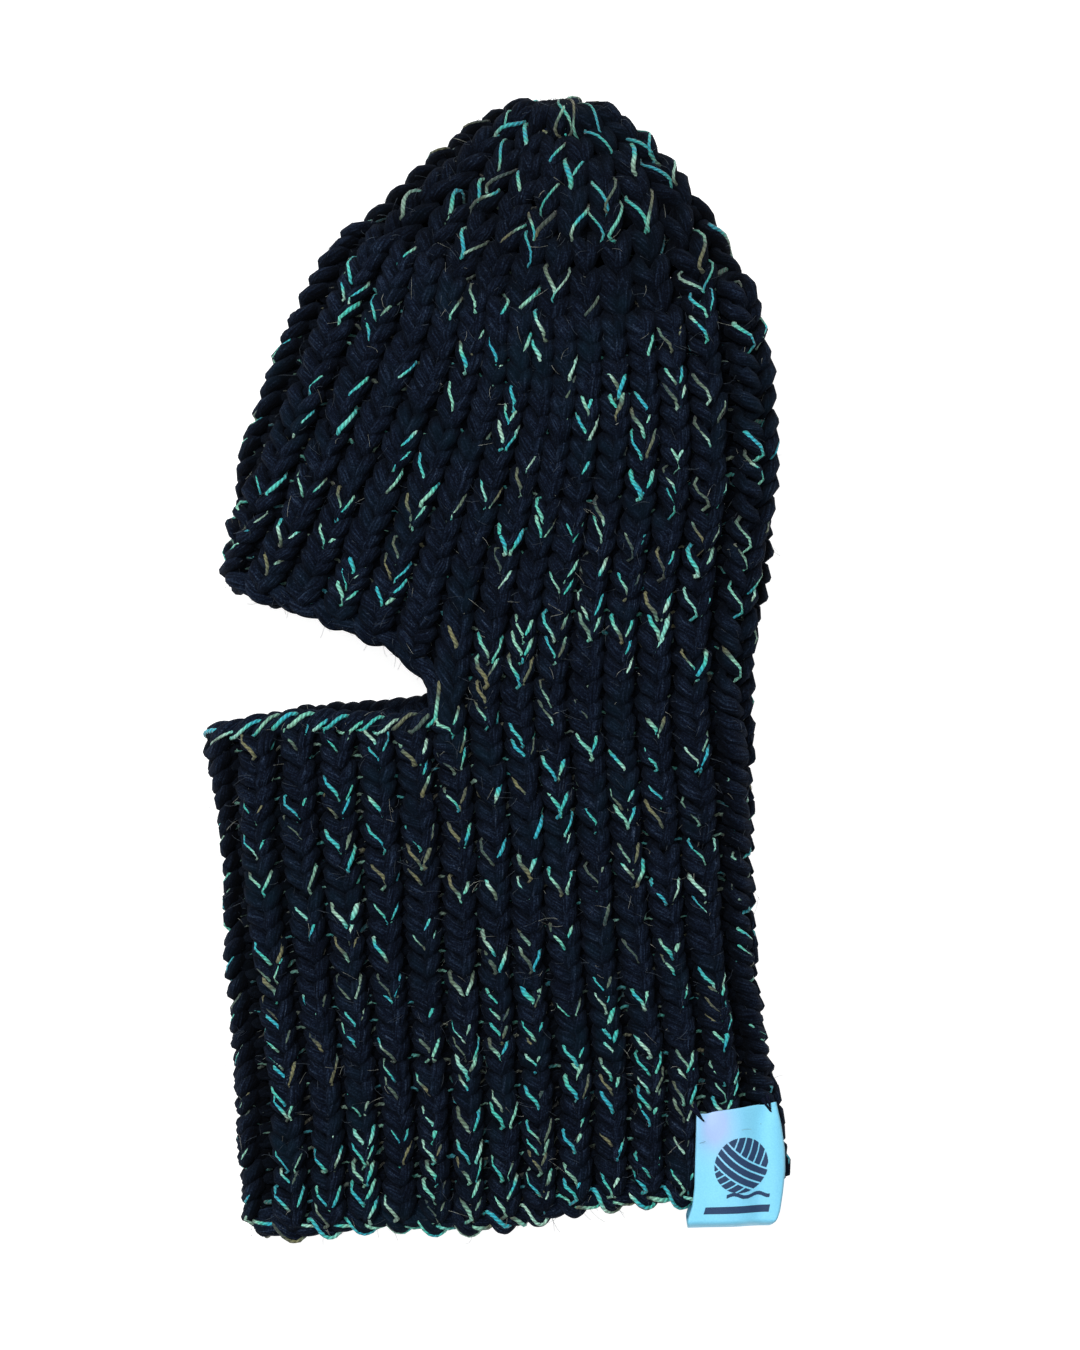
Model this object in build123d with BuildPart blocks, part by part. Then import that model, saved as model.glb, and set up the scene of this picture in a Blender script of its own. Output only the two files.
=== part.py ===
"""Chunky rib-knit balaclava, lying on its side on a table, face opening to the left.

Frame: +X from the face towards the back of the head, +Y from the neck towards the
crown, +Z up from the table. The underside of the lower layer lies on Z = 0 and the
origin is at the middle of the garment's footprint.

The hood is one tube of 1x1 rib, knitted in the round from the neck hem to a drawn-in
crown. The tube is made here as one slack, flattened shell, and is cut along its
courses into the zones it is knitted in. All sizes in millimetres.
"""

import os

from build123d import *

os.makedirs("parts", exist_ok=True)

# ---------------------------------------------------------------- driving sizes
LENGTH = 401.8            # hem to crown, lying flat
WALL = 12.5               # thickness of one layer of relaxed bulky 1x1 rib
RIM = 8.0                 # depth of a cast-on or bound-off edge
LABEL_WIDTH = 29.5        # folded label
LABEL_THICK = 0.9
LABEL_GAP = 0.3           # label to fabric
MARK_THICK = 0.25         # printed mark on the label
YARN_DIAMETER = 5.4
THREAD_DIAMETER = 1.5

# Stations along the garment: y, front fold x, back fold x, crest height, fold height
STATIONS = [
    (-212.0, -90.0, 98.0, 38.0, 16.0),
    (-200.0, -90.5, 99.5, 39.0, 16.5),
    (-184.0, -91.0, 101.5, 40.0, 16.5),
    (-168.0, -91.2, 101.5, 41.0, 17.0),
    (-148.0, -91.4, 97.0, 42.0, 17.0),
    (-120.0, -93.5, 93.0, 43.0, 17.5),
    (-90.0, -95.5, 89.2, 44.0, 18.0),
    (-55.0, -98.2, 87.4, 45.0, 18.5),
    (-25.2, -102.4, 88.0, 46.0, 19.0),
    (2.0, -101.0, 90.0, 47.0, 19.0),
    (30.0, -97.5, 93.5, 48.5, 19.5),
    (58.0, -93.0, 96.8, 50.0, 20.0),
    (88.0, -84.5, 98.6, 51.0, 20.0),
    (116.0, -74.8, 94.6, 50.0, 20.0),
    (140.0, -62.0, 84.0, 47.0, 19.5),
    (160.0, -46.5, 73.0, 42.0, 19.0),
    (176.0, -30.0, 62.0, 36.0, 18.0),
    (188.0, -14.5, 49.0, 29.5, 16.5),
    (196.0, -2.0, 39.0, 23.0, 14.5),
]
CAVITY_END = 182.0        # where the space for the head closes under the crown

# Course lines in plan, front fold to back fold
HEM_LINE = [(-112, -201.5), (-80, -200.6), (-55, -196.8), (-25, -196.6), (-3, -195.2),
            (20, -192.5), (48, -188.2), (65, -188.6), (80, -189.8), (112, -190.5)]
NECK_LINE = [(-115, -98.0), (-60, -95.0), (0, -91.0), (60, -88.5), (112, -87.5)]
CHIN_LINE = [(-118, -26.0), (-103, -22.3), (-90, -17.6), (-78, -15.4), (-66, -13.3),
             (-48, -12.6), (-34, -12.2), (-21.5, -10.2)]
BROW_LINE = [(-21.5, -10.2), (-26.5, -3.2), (-33, 2.6), (-44.6, 8.2), (-57.2, 13.4),
             (-68.8, 18.4), (-79.3, 20.3), (-84.2, 23.4), (-90.5, 24.8), (-97, 29.5),
             (-118, 38.0)]
NAPE_LINE = [(-19.5, -2.2), (-16.0, -10.6), (10, -10.8), (60, -10.4), (112, -10.2)]
HOOD_LINE = [(-112, 118.0), (-70, 108.0), (-30, 99.0), (10, 94.0), (60, 91.5), (112, 91.0)]
CROWN_LINE = [(-90, 166.0), (-45, 158.5), (0, 153.0), (45, 150.5), (110, 150.0)]
GATHER_Y = 192.0


def section_points(x0, x1, crest, fold, grow):
    """One cross-section: the ends of its flat underside, and the points over the top."""
    x0, x1, crest, fold = x0 - grow, x1 + grow, crest + grow, fold
    xc, w = (x0 + x1) / 2, (x1 - x0) / 2
    base = -grow
    foot = max(min(fold * 0.95, w * 0.55), 1.0)

    def over(c, p):
        return fold + (crest - fold) * (1 - abs(c) ** p) ** (1 / p)

    p = 2.5
    rise = [(1 - 0.62 * foot / w, base + (fold - base) * 0.04),
            (1 - 0.30 * foot / w, base + (fold - base) * 0.22),
            (1 - 0.08 * foot / w, base + (fold - base) * 0.58), (1.0, fold)]
    top = [0.985, 0.94, 0.86, 0.75, 0.6, 0.42, 0.21, 0.0]
    top += [-c for c in reversed(top[:-1])]
    points = [(xc + w * c, z) for c, z in rise]
    points += [(xc + w * c, over(c, p)) for c in top]
    points += [(xc - w * c, z) for c, z in reversed(rise)]
    return (x0 + foot, base), (x1 - foot, base), points


def tube(grow, stations):
    """The closed body of the garment's outline, grown by an amount all round."""
    with BuildPart() as body:
        for y, x0, x1, crest, fold in stations:
            left, right, over = section_points(x0, x1, crest, fold, grow)
            plane = Plane(origin=(0, y, 0), x_dir=(1, 0, 0), z_dir=(0, -1, 0))
            with BuildSketch(plane):
                with BuildLine():
                    Polyline(left, right, *over, close=True)
                make_face()
        loft(ruled=True)
    return body.part


def plan_block(edge_a, edge_b, low=-20.0, high=90.0):
    """A block through all layers, between two course lines drawn in plan."""
    with BuildPart() as block:
        with BuildSketch(Plane.XY.offset(low)):
            with BuildLine():
                Polyline(*edge_a, *reversed(edge_b), close=True)
            make_face()
        extrude(amount=high - low)
    return block.part


def shifted(line, dy):
    return [(x, y + dy) for x, y in line]


def top_height(x, y, grow=0.0):
    """Height of the outer surface of the upper layer above a point in plan."""
    rows = STATIONS
    for a, b in zip(rows, rows[1:]):
        if a[0] <= y <= b[0]:
            t = (y - a[0]) / (b[0] - a[0])
            x0, x1, crest, fold = [a[i] + t * (b[i] - a[i]) for i in range(1, 5)]
    x0, x1, crest = x0 - grow, x1 + grow, crest + grow
    c = min(abs(x - (x0 + x1) / 2) / ((x1 - x0) / 2), 1.0)
    return fold + (crest - fold) * (1 - c**2.5) ** (1 / 2.5)


# ---------------------------------------------------------------- knitted shell
outer = tube(0.0, STATIONS)
inner = tube(-WALL, [s for s in STATIONS if s[0] <= CAVITY_END])

hem_top = shifted(HEM_LINE, RIM)
chin_low = shifted(CHIN_LINE, -RIM * 0.9)
BROW_TOP = [(-19.5, -2.2), (-24.5, 4.6), (-30.5, 10.6), (-42.0, 16.4), (-54.6, 21.6), (-66.2, 26.6),
            (-77.0, 28.6), (-82.0, 31.6), (-88.0, 33.0), (-94.4, 37.6), (-116.0, 46.4)]

with BuildPart() as neck_hem_edge:
    add(outer)
    add(plan_block(HEM_LINE, hem_top), mode=Mode.INTERSECT)
    add(inner, mode=Mode.SUBTRACT)

with BuildPart() as neck_lower:
    add(outer)
    add(plan_block(hem_top, NECK_LINE), mode=Mode.INTERSECT)
    add(inner, mode=Mode.SUBTRACT)

# The upper neck runs up to the bound-off chin edge in front and to the nape behind.
corner = CHIN_LINE[-1]
low_corner = chin_low[-1]
with BuildPart() as neck_upper:
    add(outer)
    add(plan_block(NECK_LINE, chin_low + [corner] + NAPE_LINE[1:]), mode=Mode.INTERSECT)
    add(inner, mode=Mode.SUBTRACT)

with BuildPart() as chin_edge:
    add(outer)
    add(plan_block(chin_low, CHIN_LINE), mode=Mode.INTERSECT)
    add(inner, mode=Mode.SUBTRACT)

brow_up = list(reversed(BROW_LINE))
brow_up_high = list(reversed(BROW_TOP))
with BuildPart() as brow_edge:
    add(outer)
    add(plan_block(brow_up + [NAPE_LINE[1]], brow_up_high), mode=Mode.INTERSECT)
    add(inner, mode=Mode.SUBTRACT)

with BuildPart() as hood_lower:
    add(outer)
    add(plan_block(brow_up_high + NAPE_LINE[1:], HOOD_LINE), mode=Mode.INTERSECT)
    add(inner, mode=Mode.SUBTRACT)

with BuildPart() as hood_upper:
    add(outer)
    add(plan_block(HOOD_LINE, CROWN_LINE), mode=Mode.INTERSECT)
    add(inner, mode=Mode.SUBTRACT)

with BuildPart() as crown:
    add(outer)
    add(plan_block(CROWN_LINE, [(-125, GATHER_Y), (125, GATHER_Y)]), mode=Mode.INTERSECT)
    add(inner, mode=Mode.SUBTRACT)

# The drawn-in end of the crown: the last courses pulled together into a small button.
gather_x = 19.0
gather_rings = [(0.0, 21.5, 9.8), (4.0, 19.5, 9.0), (7.0, 14.0, 7.2), (8.9, 6.0, 4.0)]
with BuildPart() as crown_gather:
    for rise, half_x, half_z in gather_rings:
        ring = Plane(origin=(gather_x, GATHER_Y + rise, 12.6), x_dir=(1, 0, 0), z_dir=(0, 1, 0))
        with BuildSketch(ring):
            Ellipse(half_x, half_z)
    loft()

# ---------------------------------------------------------------- folded label
# A strip folded round the upper layer's hem near the back of the neck: outer leaf,
# inner leaf and the fold below the hem.
label_x0, label_x1 = 67.6, 67.6 + LABEL_WIDTH
label_top, label_fold = -154.5, -196.4
around = [s for s in STATIONS if s[0] < -100]


def conformal_skin(grow_out, grow_in):
    with BuildPart() as skin:
        add(tube(grow_out, around))
        add(tube(grow_in, around), mode=Mode.SUBTRACT)
    return skin.part


def label_plan(y0, y1, low, high, inset=0.0):
    """The label's outline in plan, slightly fanned, as a block of limited height."""
    with BuildPart() as block:
        with BuildSketch(Plane.XY.offset(low)):
            with BuildLine():
                Polyline((label_x0 - 0.6 + inset, y0), (label_x1 + 0.2 - inset, y0),
                         (label_x1 - inset, (y0 + y1) / 2), (label_x1 - 2.2 - inset, y1),
                         (label_x0 + 1.8 + inset, y1), (label_x0 + 1.2 + inset, (y0 + y1) / 2),
                         close=True)
            make_face()
        extrude(amount=high - low)
    return block.part


skin_out = conformal_skin(LABEL_GAP + LABEL_THICK, LABEL_GAP)
skin_in = conformal_skin(-WALL - LABEL_GAP, -WALL - LABEL_GAP - LABEL_THICK)
skin_fold = conformal_skin(LABEL_GAP + LABEL_THICK, -WALL - LABEL_GAP - LABEL_THICK)

leaf_plan = label_plan(label_fold, label_top, 17.5, 70.0)
fold_plan = label_plan(label_fold, label_fold + LABEL_THICK, 17.5, 70.0)

with BuildPart() as outer_leaf:
    add(skin_out)
    add(leaf_plan, mode=Mode.INTERSECT)

with BuildPart() as inner_leaf:
    add(skin_in)
    add(leaf_plan, mode=Mode.INTERSECT)

with BuildPart() as fold_strip:
    add(skin_fold)
    add(fold_plan, mode=Mode.INTERSECT)

with BuildPart() as label:
    add(outer_leaf.part)
    add(inner_leaf.part)
    add(fold_strip.part)

# A plain printed mark: a ball of yarn over a bar.
mark_x, mark_y = label_x0 + LABEL_WIDTH / 2 - 0.6, -172.5
with BuildPart() as mark_block:
    with BuildSketch(Plane.XY.offset(17.5)):
        with Locations((mark_x, mark_y)):
            Circle(7.4)
        with Locations((mark_x, mark_y - 14.0)):
            RectangleRounded(17.0, 2.2, 1.0)
        for turn, off in ((38, 2.5), (38, -2.5), (-48, 3.6)):
            with Locations(Location((mark_x, mark_y, 0), (0, 0, turn))):
                with Locations((0, off)):
                    Rectangle(30.0, 0.8, mode=Mode.SUBTRACT)
    extrude(amount=50)

with BuildPart() as label_mark:
    add(conformal_skin(LABEL_GAP + LABEL_THICK + MARK_THICK, LABEL_GAP + LABEL_THICK))
    add(mark_block.part, mode=Mode.INTERSECT)


# ---------------------------------------------------------------- tacks and yarn ends
def tack(x, lean):
    """Two turns of sewing yarn over the label's upper edge, as short rounded bars."""
    with BuildPart() as bars:
        for side in (-1.1, 1.1):
            xa, xb = x + side - lean, x + side + lean
            ya, yb = label_top + 3.2, label_top - 3.6
            za, zb = top_height(xa, ya) + 1.9, top_height(xb, yb) + 2.75
            direction = Vector(xb - xa, yb - ya, zb - za)
            plane = Plane(origin=(xa, ya, za), z_dir=direction)
            with BuildSketch(plane):
                Circle(0.95)
            extrude(amount=direction.length)
    return bars.part


label_tack_front = tack(label_x0 + 4.6, 0.8)
label_tack_back = tack(label_x1 - 6.4, -0.5)


def yarn_end(points, diameter):
    """A tail of the knitting yarn run along the inside of the lower layer."""
    with BuildPart() as tail:
        with BuildLine() as route:
            FilletPolyline(*points, radius=9.0)
        start = route.wires()[0]
        with BuildSketch(Plane(origin=start @ 0, z_dir=start % 0)):
            Circle(diameter / 2)
        sweep(path=start)
    return tail.part


lift = WALL + YARN_DIAMETER / 2 + 0.3
hem_yarn_end = yarn_end(
    [(44, -178, lift), (38, -158, lift), (47, -139, lift), (40, -122, lift)], YARN_DIAMETER
)
crown_yarn_end = yarn_end(
    [(20, 168, lift), (26, 150, lift), (17, 133, lift), (24, 117, lift)], YARN_DIAMETER
)

# ---------------------------------------------------------------- write the parts
made = {
    "neck_hem_edge": neck_hem_edge.part,
    "neck_lower": neck_lower.part,
    "neck_upper": neck_upper.part,
    "chin_edge": chin_edge.part,
    "brow_edge": brow_edge.part,
    "hood_lower": hood_lower.part,
    "hood_upper": hood_upper.part,
    "crown": crown.part,
    "crown_gather": crown_gather.part,
    "label": label.part,
    "label_mark": label_mark.part,
    "label_tack_front": label_tack_front,
    "label_tack_back": label_tack_back,
    "hem_yarn_end": hem_yarn_end,
    "crown_yarn_end": crown_yarn_end,
}
for name, part in made.items():
    part.label = name
    export_step(part, f"parts/{name}.step")
    box = part.bounding_box()
    print(name, len(part.solids()), round(part.volume, 1), part.is_valid, box.min, box.max)
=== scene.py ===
import math

import bpy
import numpy as np
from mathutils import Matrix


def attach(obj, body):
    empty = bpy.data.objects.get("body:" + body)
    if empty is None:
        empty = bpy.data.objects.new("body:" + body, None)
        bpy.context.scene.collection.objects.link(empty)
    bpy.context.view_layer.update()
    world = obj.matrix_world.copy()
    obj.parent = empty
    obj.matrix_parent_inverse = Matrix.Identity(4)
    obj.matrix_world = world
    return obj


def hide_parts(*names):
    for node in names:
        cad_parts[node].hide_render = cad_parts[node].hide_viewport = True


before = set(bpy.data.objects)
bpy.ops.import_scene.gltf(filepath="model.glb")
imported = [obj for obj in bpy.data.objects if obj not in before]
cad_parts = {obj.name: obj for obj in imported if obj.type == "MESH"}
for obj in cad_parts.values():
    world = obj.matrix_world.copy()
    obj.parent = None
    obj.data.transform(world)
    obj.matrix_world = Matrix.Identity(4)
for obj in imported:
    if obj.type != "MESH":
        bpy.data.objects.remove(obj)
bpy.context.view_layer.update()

# ------------------------------------------------------------------ the camera first
# It looks straight down at the flat garment, crown at the top of the picture.
cam_data = bpy.data.cameras.new("camera")
cam = bpy.data.objects.new("camera", cam_data)
bpy.context.scene.collection.objects.link(cam)
cam_data.sensor_fit = "VERTICAL"
cam_data.sensor_height = 36.0
cam_data.sensor_width = 36.0
cam_data.lens = 110.0
VIEW_HEIGHT = 0.4725
CAM_DIST = VIEW_HEIGHT * cam_data.lens / 36.0
cam.location = (0.0145, -0.0025, 0.040 + CAM_DIST)
cam.rotation_euler = (0, 0, 0)
cam_data.clip_start = 0.05
cam_data.clip_end = 20
bpy.context.scene.camera = cam

# ------------------------------------------------------------------ sizes, in mm
MM = 0.001
RIBS = 30                 # knit ribs round the tube, each with a purl column beside it
NECK_ROWS = 28
HEAD_ROWS = 27
TOP = NECK_ROWS + HEAD_ROWS
R_YARN = 2.62
R_THREAD = 0.60
HALF = 7.1                # from the fabric's middle surface to its outside
HALF_LOW = 8.3            # the same for the layer lying on the table
PER_RIB = 26              # points along the yarn for each rib
SIDES = 9
THREAD_SIDES = 8
SLIT_LOW, SLIT_HIGH = -6.4, 6.2   # columns that the face opening parts

# Guide courses: how far up the neck or the hood, then (column, x, y) from fold to fold.
NECK = [
    (0.0000, [(0.50, -85.6, -194.6), (1.50, -71.6, -195.3), (2.50, -59.0, -193.9), (3.50, -46.7, -191.8), (4.50, -34.5, -191.4), (5.50, -22.2, -191.8), (6.50, -10.0, -191.8), (7.50, 2.3, -191.4), (8.50, 14.5, -189.0), (9.50, 27.1, -186.2), (10.50, 39.7, -183.8), (11.50, 52.3, -183.4), (12.50, 64.6, -182.7), (13.50, 78.2, -181.3), (14.50, 95.4, -179.2), (14.70, 97.8, -178.8)]),
    (0.1000, [(0.50, -87.0, -177.8), (1.50, -72.3, -178.1), (2.50, -59.0, -177.1), (3.50, -46.7, -175.3), (4.50, -34.5, -174.6), (5.50, -22.2, -174.6), (6.50, -10.0, -174.3), (7.50, 2.3, -173.9), (8.50, 14.5, -171.8), (9.50, 26.8, -169.4), (10.50, 39.7, -167.3), (11.50, 52.3, -166.6), (12.50, 64.2, -165.9), (13.50, 77.5, -164.8), (14.50, 93.6, -162.8), (14.80, 95.4, -162.4)]),
    (0.2500, [(0.50, -88.4, -152.2), (1.50, -73.0, -152.2), (2.50, -59.7, -151.2), (3.50, -47.8, -150.1), (4.50, -35.2, -149.4), (5.50, -23.3, -149.1), (6.50, -10.7, -148.8), (7.50, 1.2, -148.0), (8.50, 13.5, -146.6), (9.50, 27.5, -144.5), (10.50, 39.0, -142.8), (11.50, 53.0, -141.8), (12.50, 64.2, -141.0), (13.50, 77.5, -140.0), (14.50, 89.4, -138.2), (14.60, 90.1, -137.9)]),
    (0.5000, [(0.55, -91.5, -109.5), (1.50, -77.9, -109.5), (2.50, -63.9, -109.2), (3.50, -51.6, -108.5), (4.50, -38.3, -107.8), (5.50, -25.7, -107.4), (6.50, -12.8, -106.8), (7.50, -0.9, -106.0), (8.50, 11.0, -105.0), (9.50, 23.6, -103.6), (10.50, 35.5, -102.2), (11.50, 48.1, -101.5), (12.50, 59.7, -100.8), (13.50, 72.3, -99.8), (14.50, 84.2, -98.3), (14.65, 85.6, -98.0)]),
    (0.8300, [(0.62, -94.3, -53.2), (1.50, -83.8, -52.5), (2.50, -68.8, -50.8), (3.50, -55.1, -50.0), (4.50, -40.8, -49.7), (5.50, -27.8, -48.6), (6.50, -14.2, -46.5), (7.50, -2.3, -45.1), (8.50, 9.6, -43.8), (9.50, 20.1, -42.7), (10.50, 32.7, -41.6), (11.50, 43.2, -40.9), (12.50, 55.5, -40.2), (13.50, 68.1, -39.5), (14.50, 82.8, -38.5), (14.65, 84.5, -38.5)]),
    (1.0000, [(0.40, -100.3, -24.8), (1.50, -82.8, -23.1), (2.50, -69.5, -21.3), (3.50, -56.2, -21.3), (4.50, -42.9, -22.0), (5.50, -30.3, -21.7), (6.20, -21.5, -18.9), (6.50, -17.0, -15.7), (7.50, -5.1, -12.9), (8.50, 6.5, -12.2), (9.50, 18.0, -11.9), (10.50, 30.3, -11.5), (11.50, 41.5, -11.2), (12.50, 53.7, -10.8), (13.50, 66.3, -10.5), (14.50, 80.7, -10.5), (14.80, 85.2, -10.5)]),
]
HEAD = [
    (0.0000, [(0.60, -93.6, 33.9), (1.50, -82.1, 29.0), (2.50, -68.8, 24.5), (3.50, -56.2, 19.2), (4.50, -43.6, 14.0), (5.50, -31.0, 7.0), (6.20, -21.2, -4.9), (6.50, -17.0, -12.2), (7.50, -5.1, -12.6), (8.50, 6.5, -12.2), (9.50, 18.0, -11.9), (10.50, 30.3, -11.5), (11.50, 41.5, -11.2), (12.50, 53.7, -10.8), (13.50, 66.3, -10.5), (14.50, 80.7, -10.5), (14.80, 85.2, -10.5)]),
    (0.1852, [(-0.20, -89.1, 65.8), (0.50, -80.0, 61.6), (1.50, -68.8, 54.6), (2.50, -57.9, 48.3), (3.50, -47.1, 42.3), (4.50, -34.8, 37.1), (5.50, -23.3, 32.5), (6.50, -12.1, 29.0), (7.50, -0.5, 26.6), (8.50, 10.0, 25.2), (9.50, 20.8, 24.8), (10.50, 32.4, 24.8), (11.50, 43.6, 25.2), (12.50, 55.5, 25.9), (13.50, 67.7, 26.9), (14.50, 82.8, 28.3), (15.10, 91.5, 29.4)]),
    (0.3704, [(-0.50, -77.9, 101.1), (0.50, -65.3, 96.6), (1.50, -53.7, 89.6), (2.50, -43.9, 83.3), (3.50, -34.5, 77.0), (4.50, -22.9, 71.4), (5.50, -12.8, 67.2), (6.50, -3.3, 63.7), (7.50, 7.9, 60.9), (8.50, 17.0, 59.1), (9.50, 26.8, 58.4), (10.50, 37.6, 58.8), (11.50, 48.8, 59.8), (12.50, 60.4, 61.6), (13.50, 72.3, 63.7), (14.50, 88.7, 66.8), (14.90, 94.7, 68.2)]),
    (0.5556, [(-0.50, -63.9, 133.7), (0.50, -52.3, 127.4), (1.50, -41.1, 120.4), (2.50, -30.6, 114.1), (3.50, -20.5, 108.5), (4.50, -10.7, 103.9), (5.50, -1.6, 100.1), (6.50, 6.8, 96.9), (7.50, 14.9, 94.8), (8.50, 22.6, 93.8), (9.50, 31.0, 93.4), (10.50, 40.4, 93.8), (11.50, 50.6, 95.2), (12.50, 60.7, 97.3), (13.50, 71.2, 100.1), (14.50, 86.6, 105.3), (14.90, 93.3, 108.1)]),
    (0.7407, [(-0.50, -40.1, 162.8), (0.50, -33.8, 157.8), (2.50, -19.8, 147.3), (4.50, -5.4, 138.6), (6.50, 9.3, 131.6), (8.50, 24.0, 128.1), (10.50, 39.4, 128.4), (12.50, 56.9, 133.0), (14.00, 72.6, 141.0), (14.90, 80.7, 145.2)]),
    (0.8704, [(-0.50, -15.9, 184.4), (1.20, -8.6, 177.8), (3.00, -0.2, 170.4), (5.00, 9.6, 165.2), (7.50, 21.5, 162.4), (10.00, 34.5, 163.1), (12.00, 47.1, 167.3), (13.50, 53.7, 172.2), (14.90, 61.1, 177.1)]),
    (0.9444, [(-0.50, -2.3, 194.6), (2.00, 5.4, 188.6), (4.50, 13.1, 183.8), (7.20, 22.9, 181.6), (10.00, 32.7, 182.7), (12.50, 40.8, 186.2), (14.90, 47.4, 190.4)]),
    (1.0000, [(-0.50, 9.6, 199.8), (3.50, 15.2, 197.0), (7.20, 22.2, 195.6), (11.00, 28.5, 196.3), (14.90, 36.2, 199.1)]),
]

# y, crest, fold height of the outer surface
CREST = np.array([
    (-212.0, 38.0, 16.0), (-184.0, 40.0, 16.5), (-148.0, 42.0, 17.0), (-90.0, 44.0, 18.0),
    (-25.0, 46.0, 19.0), (30.0, 48.5, 19.5), (58.0, 50.0, 20.0), (88.0, 51.0, 20.0),
    (116.0, 50.0, 20.0), (140.0, 47.0, 19.5), (160.0, 42.0, 19.0), (176.0, 36.0, 18.0),
    (188.0, 30.0, 16.5), (199.0, 25.0, 14.5)])

rng = np.random.default_rng(783)


def cubic(keys, values, at):
    """Smooth interpolation through values at keys. values may have any trailing shape."""
    keys = np.asarray(keys, float)
    values = np.asarray(values, float)
    at = np.asarray(at, float)
    h = np.diff(keys)
    slope = np.diff(values, axis=0) / h.reshape(-1, *([1] * (values.ndim - 1)))
    tang = np.empty_like(values)
    tang[0], tang[-1] = slope[0], slope[-1]
    for i in range(1, len(keys) - 1):
        tang[i] = (slope[i - 1] * h[i] + slope[i] * h[i - 1]) / (h[i - 1] + h[i])
    idx = np.clip(np.searchsorted(keys, at, side="right") - 1, 0, len(keys) - 2)
    hh = h[idx]
    s = (at - keys[idx]) / hh
    shape = (-1, *([1] * (values.ndim - 1)))
    s, hh = s.reshape(shape), hh.reshape(shape)
    out = ((2 * s**3 - 3 * s**2 + 1) * values[idx] + (s**3 - 2 * s**2 + s) * hh * tang[idx]
           + (-2 * s**3 + 3 * s**2) * values[idx + 1] + (s**3 - s**2) * hh * tang[idx + 1])
    low, high = (at < keys[0]).reshape(shape), (at > keys[-1]).reshape(shape)
    step = (at - keys[0]).reshape(shape)
    out = np.where(low, values[0] + step * tang[0], out)
    step = (at - keys[-1]).reshape(shape)
    return np.where(high, values[-1] + step * tang[-1], out)


NQ = 61
Q = np.linspace(0, 1, NQ)


def course_table(levels):
    """Per level: share, first and last column of the upper layer, and x and y along it."""
    keys, ends, lines = [], [], []
    for share, pts in levels:
        u, x, y = np.array(pts).T
        uf, ub = u[0], u[-1]
        fine = uf + Q * (ub - uf)
        xs, ys = cubic(u, x, fine), cubic(u, y, fine)
        keys.append(share)
        ends.append((uf, ub))
        lines.append(np.stack([xs, ys], -1))
    return np.array(keys), np.array(ends), np.array(lines)


def build_map(levels, v0, rows, v_low, v_high, far_lift=0.0):
    """The fabric's middle surface and outward normal on a grid of rows and columns."""
    keys, ends, lines = course_table(levels)
    vs = np.arange(v_low, v_high + 1e-6, 0.5)
    us = np.arange(0, RIBS, 0.125)
    share = (vs - v0) / rows
    e = cubic(keys, ends, share)
    l = cubic(keys, lines, share)
    grid = np.zeros((len(vs), len(us), 3))
    for i in range(len(vs)):
        uf, ub = e[i]
        rel = np.mod(us - uf, RIBS)
        top = rel <= (ub - uf)
        q = np.where(top, rel / (ub - uf), 0)
        xt, yt = np.interp(q, Q, l[i, :, 0]), np.interp(q, Q, l[i, :, 1])
        w = (rel - (ub - uf)) / (RIBS - (ub - uf))
        xf, xb = l[i, 0, 0], l[i, -1, 0]
        xu = xb + (xf - xb) * w
        order = np.argsort(l[i, :, 0])
        yu = np.interp(xu, l[i, order, 0], l[i, order, 1])
        near_edge = np.clip(1 - abs(vs[i] - NECK_ROWS) / 3.0, 0, 1) * far_lift
        yu = yu + near_edge * np.clip((-8 - xu) / 12, 0, 1) * np.clip((xu + 76) / 40, 0, 1)
        x = np.where(top, xt, xu)
        y = np.where(top, yt, yu)
        crest = np.interp(y, CREST[:, 0], CREST[:, 1]) - HALF
        fold = np.interp(y, CREST[:, 0], CREST[:, 2])
        c = np.clip(np.abs((2 * x - xf - xb) / (xb - xf)), 0, 1)
        z_top = fold + (crest - fold) * (1 - c**2.6) ** (1 / 2.6)
        z_low = fold - (fold - HALF_LOW) * (1 - c**5) ** (1 / 5)
        grid[i] = np.stack([x, y, np.where(top, z_top, z_low)], -1)
    # soften the corners of the folds a little, round the tube
    for _ in range(3):
        grid = 0.5 * grid + 0.25 * (np.roll(grid, 1, 1) + np.roll(grid, -1, 1))
    du = np.roll(grid, -1, 1) - np.roll(grid, 1, 1)
    dv = np.gradient(grid, axis=0)
    n = np.cross(du, dv)
    n /= np.linalg.norm(n, axis=-1, keepdims=True) + 1e-9
    return vs, grid, n


NECK_MAP = build_map(NECK, 0, NECK_ROWS, -2, NECK_ROWS + 3, far_lift=6.6)
HEAD_MAP = build_map(HEAD, NECK_ROWS, HEAD_ROWS, NECK_ROWS - 2, TOP + 0.5)


def sample(fabric, u, v):
    """Middle surface and normal at any columns and rows, smoothly between grid points."""
    vs, grid, normal = fabric
    fu = np.mod(u, RIBS) / 0.125
    fv = np.clip((v - vs[0]) / 0.5, 0, len(vs) - 1.001)
    iu, iv = np.floor(fu).astype(int), np.floor(fv).astype(int)
    a, b = (fu - iu)[..., None], (fv - iv)[..., None]
    iu0, iu1 = iu % grid.shape[1], (iu + 1) % grid.shape[1]
    def lin(g):
        return ((g[iv, iu0] * (1 - a) + g[iv, iu1] * a) * (1 - b)
                + (g[iv + 1, iu0] * (1 - a) + g[iv + 1, iu1] * a) * b)
    n = lin(normal)
    return lin(grid), n / (np.linalg.norm(n, axis=-1, keepdims=True) + 1e-9)


def in_slit(u):
    rel = np.mod(u - SLIT_LOW, RIBS)
    return rel < (SLIT_HIGH - SLIT_LOW)


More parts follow.
